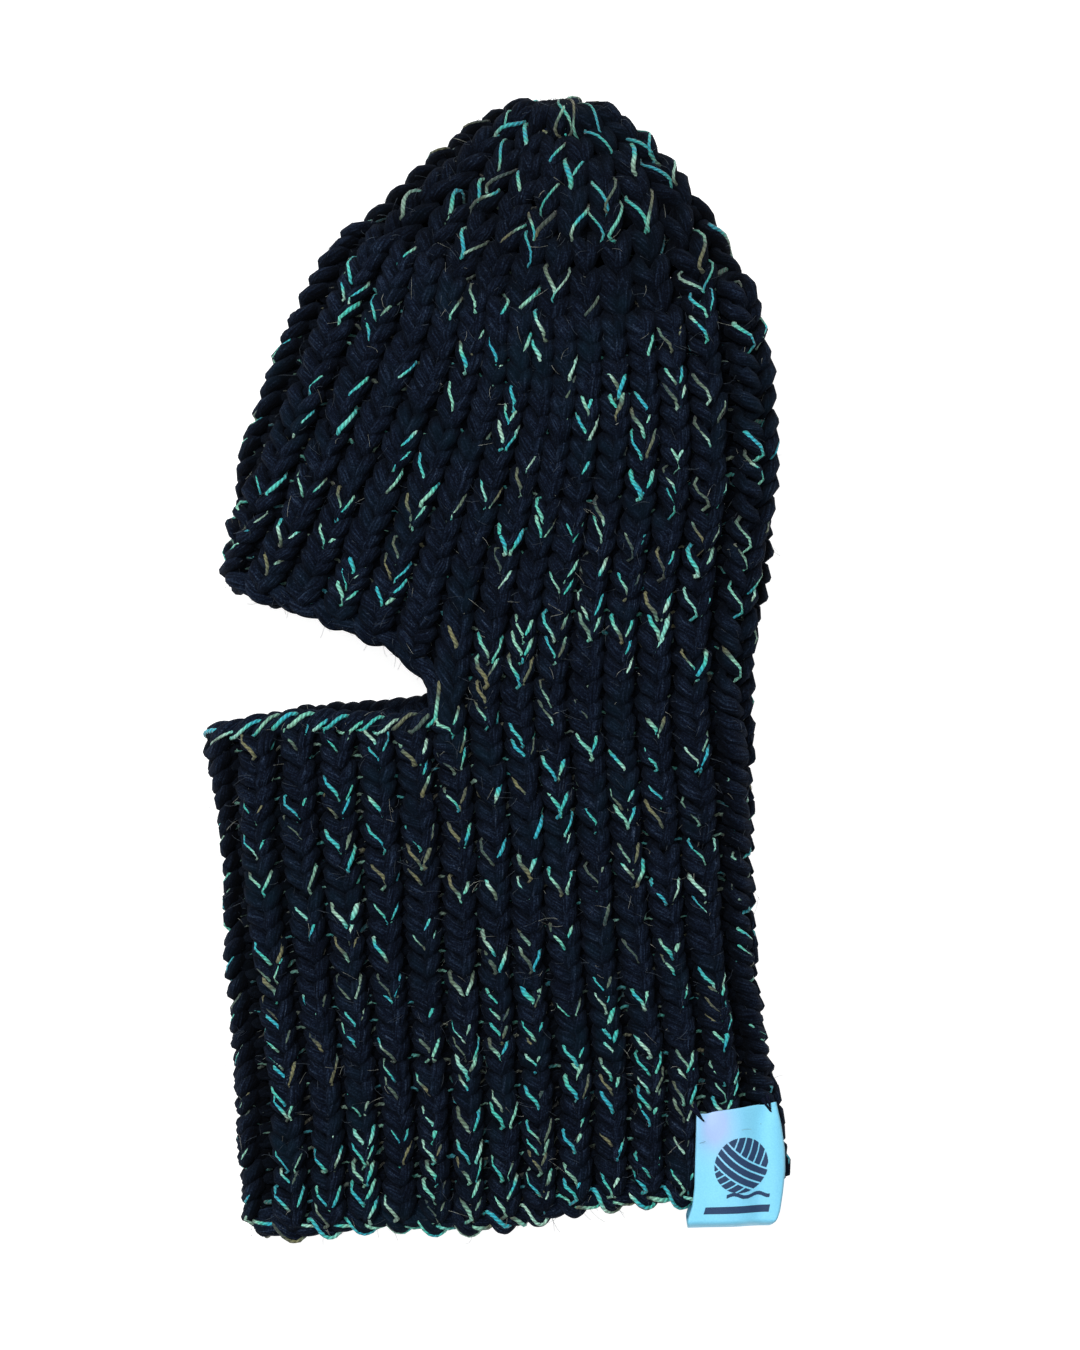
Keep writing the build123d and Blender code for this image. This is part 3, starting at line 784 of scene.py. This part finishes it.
# the corner of the opening: yarn brought round from the brow to the chin, on each layer
for corner in (SLIT_LOW, SLIT_HIGH):
    inward = 1 if corner > 0 else -1
    uu = corner + inward * np.array([-0.75, -0.35, -0.02, 0.16, 0.20, 0.12, -0.05])
    vv = NECK_ROWS + np.array([-0.25, -0.15, 0.05, -0.15, -0.60, -1.20, -1.9])
    zz = np.array([2.6, 3.4, 3.8, 4.2, 4.4, 4.0, 2.6])
    c = catmull(np.stack([uu, vv, zz], -1), 34)
    sides_up = fabric_point(c[:, 0], c[:, 1], c[:, 2], 1)
    sides_dn = fabric_point(c[:, 0], c[:, 1], c[:, 2], -1)
    w = np.clip(np.linspace(-0.5, 1.6, 34), 0, 1)[:, None]
    edge_piece("knit_chin", [(sides_up[0] * (1 - w) + sides_dn[0] * w,
                              unit(sides_up[1] * (1 - w) + sides_dn[1] * w))], False, 2.7, accent=False)

# ------------------------------------------------------------------ drawn-in crown
gather, gather_strand = Tubes(SIDES, R_YARN), Tubes(THREAD_SIDES, R_THREAD)
centre = np.array([23.0, 193.5, 12.5])


def loose_line(ctrl, n):
    return catmull(np.array(ctrl, float), n)


knot_lines = [
    # a ring pulled tight through the last loops, open a little at its front
    [(9, 193.2, 17.5), (13, 190.6, 20.2), (20, 189.6, 21.0), (27, 190.2, 20.8), (32, 191.8, 18.8), (34.5, 195.0, 14),
     (31, 198.4, 8.0), (24, 199.4, 6.4), (15, 199.0, 7.5), (9.5, 196.8, 12.0), (9, 193.1, 17.6)],
    # the tail taken over the middle and down inside
    [(17.5, 184.5, 20.0), (19.5, 189.0, 21.2), (23, 193.4, 20.6), (28, 196.0, 17.6), (32, 196.4, 12.5), (29, 194, 8.0)],
    [(38, 186.5, 18.5), (33.5, 191.2, 20.2), (28.5, 195.6, 19.6), (23.5, 198.9, 16.5), (19.5, 199.6, 11.5), (20, 196, 7.5)],
    [(27, 190.5, 20.8), (25.6, 195.8, 19.6), (25.8, 200.0, 16.0), (27.0, 200.6, 12.0), (25.0, 199.0, 8.0)],
    [(11, 193.8, 16.5), (9.4, 197.0, 14.0), (12.0, 199.6, 11.0), (17.0, 200.0, 9.5), (20.0, 198.0, 8.0)],
    # and once more round the middle, filling the top
    [(12.5, 195.5, 17.0), (17.5, 197.6, 17.0), (22.5, 199.4, 15.0), (28.5, 198.6, 14.5), (33.0, 196.0, 14.0)],
]
for ctrl in knot_lines:
    p = loose_line(ctrl, 60)
    n = unit(p - centre)
    gather.add(p, False, R_YARN * (1 + wander(60, 12, 0.05)), start=rng.uniform(0, 4000))
    add_strand(gather_strand, p, n, R_YARN, False)
    for k in rng.choice(60, size=12, replace=False):
        surface_spots.append((p[k], n[k], unit(p[(k + 1) % 60] - p[k]), R_YARN))
pieces["knit_crown_gather"] = (gather, gather_strand, ["crown_gather"])

made = {}
for name, (yarn, strand, nodes) in pieces.items():
    obj = yarn.build(name, YARN)
    acc = strand.build(name.replace("knit", "strand"), THREAD)
    for o in (obj, acc):
        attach(o, "root")
    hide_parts(*nodes)
    made[name] = obj

# ------------------------------------------------------------------ woven-in ends
for name, node, route in (
    ("yarn_end_hem", "hem_yarn_end",
     [(44, -178, 15.4), (39.5, -168, 15.5), (39.5, -157, 15.4), (45.5, -146, 15.5), (46, -136, 15.4), (40.5, -124, 15.4)]),
    ("yarn_end_crown", "crown_yarn_end",
     [(20, 167, 15.4), (24.5, 158, 15.5), (24.5, 149, 15.4), (18.5, 139, 15.5), (18.5, 130, 15.4), (23.5, 118, 15.4)]),
):
    p = catmull(np.array(route, float), 90)
    tube = Tubes(SIDES, 2.45)
    tube.add(p, False, 2.45 * (1 + wander(90, 10, 0.05)))
    end = tube.build(name, YARN)
    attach(end, "root")
    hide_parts(node)

# ------------------------------------------------------------------ halo of loose fibres
def fibres(name, count, length, radius, material, lift):
    """Fine hairs standing and lying off the yarn."""
    tube = Tubes(3, radius)
    picks = rng.integers(0, len(surface_spots), count)
    for k in picks:
        p, n, t, r = surface_spots[k]
        side = np.cross(t, n)
        a = rng.normal(0, 0.9)
        out = unit(n * math.cos(a) + side * math.sin(a))
        root = p + out * r * 0.93
        ln = length * rng.uniform(0.5, 1.6)
        lie = unit(t * rng.normal(0, 1) + side * rng.normal(0, 1) + n * 0.15)
        bend = unit(lie + rng.normal(0, 0.7, 3))
        up = lift * rng.uniform(0.4, 1.3)
        ctrl = np.array([root, root + lie * ln * 0.33 + out * up,
                         root + lie * ln * 0.6 + bend * ln * 0.15 + out * up * 1.3,
                         root + lie * ln * 0.75 + bend * ln * 0.4 + out * up * 0.9])
        ctrl[:, 2] = np.maximum(ctrl[:, 2], 0.3)
        tube.add(ctrl, False, radius)
    obj = tube.build(name, material)
    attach(obj, "root")
    return obj


fibres("halo_fibres", 6500, 4.2, 0.055, HALO, 0.7)
fibres("pale_stray_fibres", 1100, 5.2, 0.055, STRAY, 0.9)


# ------------------------------------------------------------------ the label
def knit_top():
    """Height of the knit's outer side under the label, bridged between the ribs."""
    gx, gy = np.arange(56.0, 112.0, 0.5), np.arange(-206.0, -138.0, 0.5)
    field = np.full((len(gy), len(gx)), 0.0)
    for row in range(0, 9):
        p, n, thick = courses[row][:3]
        for (x, y, z), r in zip(p, thick * R_YARN):
            if x < 56 or y > -138 or z < 16:
                continue
            i0, j0 = int((y - r - gy[0]) / 0.5), int((x - r - gx[0]) / 0.5)
            i1, j1 = i0 + int(2 * r / 0.5) + 2, j0 + int(2 * r / 0.5) + 2
            i0, j0, i1, j1 = max(i0, 0), max(j0, 0), min(i1, len(gy)), min(j1, len(gx))
            d2 = (gx[None, j0:j1] - x) ** 2 + (gy[i0:i1, None] - y) ** 2
            top = np.where(d2 < r * r, z + np.sqrt(np.clip(r * r - d2, 0, None)), 0)
            field[i0:i1, j0:j1] = np.maximum(field[i0:i1, j0:j1], top)
    # below the hem the strip keeps the height it left the knit with
    first = [np.flatnonzero(field[:, j] > 20) for j in range(len(gx))]
    for j, rows_in in enumerate(first):
        if len(rows_in):
            k = rows_in[0] + 8
            field[:k, j] = field[k:k + 12, j].max()

    def spread(a, cells, how):
        out = a.copy()
        for s in range(-cells, cells + 1):
            out = how(out, np.roll(a, s, 1))
        b = out.copy()
        for s in range(-cells, cells + 1):
            out = how(out, np.roll(b, s, 0))
        return out
    field = spread(field, 7, np.maximum)
    k = np.exp(-0.5 * (np.arange(-14, 15) / 5.5) ** 2)
    k /= k.sum()
    pad = np.pad(field, 14, mode="edge")
    pad = np.apply_along_axis(lambda v: np.convolve(v, k, "same"), 0, pad)
    pad = np.apply_along_axis(lambda v: np.convolve(v, k, "same"), 1, pad)
    return gx, gy, pad[14:-14, 14:-14]


KNIT_X, KNIT_Y, KNIT_TOP = knit_top()


def label_height(x, y):
    """Height of the label's outer face, lying over the ribs and bending down at the fold."""
    fx = np.clip((x - KNIT_X[0]) / 0.5, 0, len(KNIT_X) - 1.01)
    fy = np.clip((y - KNIT_Y[0]) / 0.5, 0, len(KNIT_Y) - 1.01)
    ix, iy = np.floor(fx).astype(int), np.floor(fy).astype(int)
    a, b = fx - ix, fy - iy
    g = KNIT_TOP
    h = ((g[iy, ix] * (1 - a) + g[iy, ix + 1] * a) * (1 - b)
         + (g[iy + 1, ix] * (1 - a) + g[iy + 1, ix + 1] * a) * b)
    return h + 0.15


EDGE_LEFT = np.array([(-153.5, 69.5), (-157.0, 69.3), (-167.2, 69.0), (-182.2, 68.6), (-188.7, 67.8),
                      (-193.5, 66.2), (-196.6, 66.4), (-198.0, 66.6)])
EDGE_RIGHT = np.array([(-153.0, 97.6), (-160.7, 99.3), (-169.7, 100.6), (-177.1, 100.7), (-184.7, 99.9),
                       (-191.2, 98.9), (-194.5, 97.8), (-196.6, 96.2), (-198.0, 96.2)])


def label_point(a, s):
    """a from 0 to 1 across, s along the strip in mm from the outer leaf's top edge."""
    a, s = np.broadcast_arrays(np.asarray(a, float), np.asarray(s, float))
    front = 37.5                       # down the outer leaf
    turn = 17.0                        # round the fold
    y_top = -156.2 + 3.2 * a           # the top edge rises to the right
    y_front = y_top - np.clip(s, 0, front) / front * (front + 3.2 * a)
    y_end = y_top - (front + 3.2 * a)
    ang = np.clip((s - front) / turn, 0, 1) * math.pi
    thick = 8.2
    y = np.where(s <= front, y_front, y_end - 2.9 * np.sin(ang))
    back = np.clip(s - front - turn, 0, None)
    y = np.where(s > front + turn, y_end + back, y)
    xl = np.interp(-y, -EDGE_LEFT[:, 0], EDGE_LEFT[:, 1])
    xr = np.interp(-y, -EDGE_RIGHT[:, 0], EDGE_RIGHT[:, 1])
    x = xl + a * (xr - xl)
    top = label_height(x, np.minimum(y, -150))
    drop = np.where(s <= front, 0, thick * (1 - np.cos(ang)))
    inner = np.clip((x - 78) / 20, 0, 1) * 5.0 * np.clip((s - front) / turn, 0, 1)
    x = x - np.clip((s - front) / turn, 0, 1) * a * 3.0
    z = top - drop + inner * 0.5
    return np.stack([x, y, z], -1)


def label_sheet():
    na, ns = 41, 131
    a = np.linspace(0, 1, na)
    s = np.linspace(0, 37.5 + 17.0 + 34.0, ns)
    A, S = np.meshgrid(a, s)
    # scallop of the top edge where the tacks pull it
    lift = 0.5 * np.cos((A - 0.5) * 2 * math.pi) * np.exp(-(S / 5.0) ** 2)
    P = label_point(A, S + 0 * lift)
    P[..., 1] += 0.45 * np.exp(-(S / 4.0) ** 2) * (np.exp(-((A - 0.12) / 0.07) ** 2) + np.exp(-((A - 0.86) / 0.07) ** 2)) * -1
    P[..., 2] += -0.7 * np.exp(-(S / 5.0) ** 2) * (np.exp(-((A - 0.12) / 0.09) ** 2) + np.exp(-((A - 0.86) / 0.09) ** 2))
    du = np.gradient(P, axis=1)
    dv = np.gradient(P, axis=0)
    n = unit(np.cross(dv, du))
    half = 0.40
    up, dn = P + n * half, P - n * half
    verts = np.concatenate([up.reshape(-1, 3), dn.reshape(-1, 3)]) * MM
    idx = np.arange(ns * na).reshape(ns, na)
    off = ns * na
    q = []
    q.append(np.stack([idx[:-1, :-1], idx[1:, :-1], idx[1:, 1:], idx[:-1, 1:]], -1).reshape(-1, 4))
    q.append(np.stack([idx[:-1, :-1], idx[:-1, 1:], idx[1:, 1:], idx[1:, :-1]], -1).reshape(-1, 4) + off)
    rim = np.concatenate([idx[0, :], idx[1:, -1], idx[-1, -2::-1], idx[-2:0:-1, 0]])
    nxt = np.roll(rim, -1)
    q.append(np.stack([rim, nxt, nxt + off, rim + off], -1))
    quads = np.concatenate(q)
    # baking layout: outer face on the left half, inner face on the right
    ua = np.tile(A.ravel(), 2)
    us = np.tile(S.ravel() / s[-1], 2)
    layer = np.repeat([0, 1], off)
    uvx = 0.01 + 0.44 * ua + 0.5 * layer
    uvy = 0.01 + 0.98 * us
    loops = quads.reshape(-1)
    bake = np.stack([uvx[loops], uvy[loops]], -1)
    flat = np.stack([ua[loops] * 31.0, np.tile(S.ravel(), 2)[loops]], -1)
    starts = np.arange(len(quads)) * 4
    return make_mesh("label_strip", verts, loops, starts, np.full(len(quads), 4), LABEL,
                     {"OFBake": bake, "Along": flat})


def label_material():
    n = Nodes("label_coated_fabric_blue", Roughness=0.42, Specular_IOR_Level=0.4, Sheen_Weight=0.05)
    obj = n.new("ShaderNodeTexCoord").outputs["Object"]
    uv = n.new("ShaderNodeUVMap", uv_map="Along").outputs[0]
    sep = n.new("ShaderNodeSeparateXYZ")
    n.link(uv, sep.inputs[0])
    x, y = sep.outputs[0], sep.outputs[1]
    grain = n.noise(obj, 1900.0, 3.0, 0.6)
    cloud = n.noise(obj, 75.0, 2.0, 0.5)
    base = n.ramp(grain, [(0.3, lin(118, 202, 236)), (0.7, lin(132, 214, 245))])
    # a lilac reflection near the upper left corner
    dx = n.math("SUBTRACT", x, 7.5)
    dy = n.math("SUBTRACT", y, 4.5)
    d = n.math("ADD", n.math("MULTIPLY", dx, n.math("MULTIPLY", dx, 0.022)),
               n.math("MULTIPLY", dy, n.math("MULTIPLY", dy, 0.012)))
    glow = n.math("POWER", 2.718, n.math("MULTIPLY", d, -1.0))
    glow = n.math("MULTIPLY", glow, n.math("ADD", n.math("MULTIPLY", cloud, 0.9), 0.25))
    glow = n.math("MINIMUM", glow, 0.62)
    base = n.mix(glow, base, lin(176, 172, 226))
    # slightly greyer along the cut edges
    edge = n.math("MINIMUM", x, n.math("SUBTRACT", 31.0, x))
    rim = n.ramp(n.math("MULTIPLY", edge, 0.5), [(0.0, grey(0.80)), (0.35, grey(1.0))])
    base = n.mix(1.0, base, rim, "MULTIPLY")
    n.link(base, n.bsdf.inputs["Base Color"])
    rough = n.ramp(cloud, [(0.35, grey(0.36)), (0.65, grey(0.50))])
    n.link(rough, n.bsdf.inputs["Roughness"])
    n.link(n.bump(grain, 0.18, 0.00012, n.bump(cloud, 0.12, 0.0008)), n.bsdf.inputs["Normal"])
    return n.mat


LABEL = label_material()
label = label_sheet()
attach(label, "root")
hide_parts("label")


def ink_material(name, a, b, rough):
    n = Nodes(name, Roughness=rough, Specular_IOR_Level=0.3)
    obj = n.new("ShaderNodeTexCoord").outputs["Object"]
    grain = n.noise(obj, 2400.0, 3.0, 0.7)
    n.link(n.ramp(grain, [(0.3, lin(*a)), (0.7, lin(*b))]), n.bsdf.inputs["Base Color"])
    n.link(n.bump(grain, 0.3, 0.0001), n.bsdf.inputs["Normal"])
    return n.mat


INK = ink_material("label_ink_slate", (26, 50, 84), (38, 66, 102), 0.6)


def on_label(x_mm, s_mm, lift):
    """A point of the printed mark: across and down the outer leaf, raised by lift."""
    a = x_mm / 31.0
    p = label_point(a, s_mm)
    px = label_point(a + 0.01, s_mm) - p
    ps = label_point(a, s_mm + 0.3) - p
    n = unit(np.cross(ps, px))
    return p + n * lift


def mark_mesh():
    """A solid ball of yarn, its windings divided by thin gaps, with a loose end over a bar."""
    cx, cs, r = 15.9, 19.2, 9.3
    step = 0.15
    gx, gs = np.arange(3.0, 28.5, step), np.arange(8.0, 36.5, step)
    X, S = np.meshgrid(gx, gs)
    mx, ms = X + step / 2, S + step / 2
    dx, ds = mx - cx, ms - cs
    ball = dx * dx + ds * ds < r * r

    def turned(angle, bow):
        a = dx * math.cos(angle) + ds * math.sin(angle)
        b = -dx * math.sin(angle) + ds * math.cos(angle)
        return b - bow * (1 - (a / r) ** 2)

    band = turned(0.62, 1.6)
    cross = turned(-0.85, 2.4)
    low = turned(2.2, -1.8)
    gap = np.zeros_like(ball)
    in_band = np.abs(band) < 4.0
    for at in (-4.0, -1.33, 1.33, 4.0):
        gap |= np.abs(band - at) < 0.30
    for at in (-6.6, -3.9, -1.2, 1.5, 4.2, 6.9):
        gap |= (~in_band) & (band > 0) & (np.abs(cross - at) < 0.28)
        gap |= (~in_band) & (band < 0) & (np.abs(low - at) < 0.28)
    fill = ball & ~gap
    # the loose end leaves the ball at the bottom and runs off to the right
    tail_s = cs + r + 0.9 + 0.55 * np.sin((mx - cx) * 0.75)
    fill |= (np.abs(ms - tail_s) < 0.62) & (mx > cx - 4.5) & (mx < cx + 10.6)
    fill |= (np.abs(ms - 34.1) < 1.15) & (mx > 4.6) & (mx < 27.2)
    P = on_label(X, S, 0.50)
    nx = X.shape[1]
    f = fill[:-1, :-1]
    ids = np.flatnonzero(f)
    row, col = np.unravel_index(ids, f.shape)
    base = row * nx + col
    quads = np.stack([base, base + nx, base + nx + 1, base + 1], -1)
    used, inverse = np.unique(quads.reshape(-1), return_inverse=True)
    v = P.reshape(-1, 3)[used] * MM
    flat = inverse.reshape(-1)
    uv = np.stack([(X.reshape(-1)[used] - 3.0) / 25.5, (S.reshape(-1)[used] - 8.0) / 28.5], -1)
    uv = uv[flat] * 0.98 + 0.01
    starts = np.arange(len(quads)) * 4
    return make_mesh("label_mark_print", v, flat, starts, np.full(len(quads), 4), INK, {"OFBake": uv})


mark = mark_mesh()
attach(mark, "root")
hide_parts("label_mark")

# tacks: a few turns of sewing yarn over the label's top corners
SEW = yarn_material("dark_sewing_yarn", (8, 9, 18), (16, 19, 36), (32, 36, 58), (10, 20, 30))
for name, node, lines in (
    ("tack_front", "label_tack_front", (((66.6, -153.2), (71.9, -158.8)), ((68.3, -152.6), (71.2, -157.9)))),
    ("tack_back", "label_tack_back", (((92.6, -151.6), (95.9, -156.3)), ((94.6, -150.6), (95.7, -155.4)))),
):
    tube = Tubes(8, 0.55)
    for a, b in lines:
        k = np.linspace(0, 1, 16)[:, None]
        xy = np.array(a) * (1 - k) + np.array(b) * k
        z = label_height(xy[:, 0], xy[:, 1]) + 0.35 + 0.5 * np.sin(k[:, 0] * math.pi)
        tube.add(np.column_stack([xy, z]), False, 0.62 * (1 - 0.55 * k[:, 0]), 0.1, 3.0)
    tack = tube.build(name, SEW)
    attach(tack, "root")
    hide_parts(node)

# ------------------------------------------------------------------ table and light
floor_mesh = bpy.data.meshes.new("floor")
floor_mesh.from_pydata([(-3, -3, -0.0004), (3, -3, -0.0004), (3, 3, -0.0004), (-3, 3, -0.0004)], [], [(0, 1, 2, 3)])
floor = bpy.data.objects.new("floor", floor_mesh)
bpy.context.scene.collection.objects.link(floor)
fm = Nodes("floor_white", Roughness=0.9, Base_Color=(0.40, 0.40, 0.40, 1.0),
           Emission_Color=(1.0, 1.0, 1.0, 1.0), Emission_Strength=0.90)
floor_mesh.materials.append(fm.mat)


def area(name, loc, aim, size, power, colour=(1, 1, 1)):
    data = bpy.data.lights.new(name, "AREA")
    data.shape = "RECTANGLE"
    data.size, data.size_y = size
    data.energy = power
    data.color = colour
    obj = bpy.data.objects.new(name, data)
    bpy.context.scene.collection.objects.link(obj)
    obj.location = loc
    from mathutils import Vector
    obj.rotation_euler = (Vector(aim) - Vector(loc)).to_track_quat("-Z", "Y").to_euler()
    return obj


area("key", (-0.8, 1.1, 2.1), (0, 0, 0), (0.6, 0.6), 56)
area("fill", (1.3, -0.5, 2.0), (0, 0, 0), (1.2, 1.2), 9)
area("over", (0.0, 0.2, 2.6), (0, 0, 0), (1.0, 1.0), 26)

world = bpy.data.worlds.new("studio")
bpy.context.scene.world = world
world.use_nodes = True
world.node_tree.nodes["Background"].inputs["Color"].default_value = (1, 1, 1, 1)
world.node_tree.nodes["Background"].inputs["Strength"].default_value = 0.09
bpy.context.scene.view_settings.view_transform = "Standard"
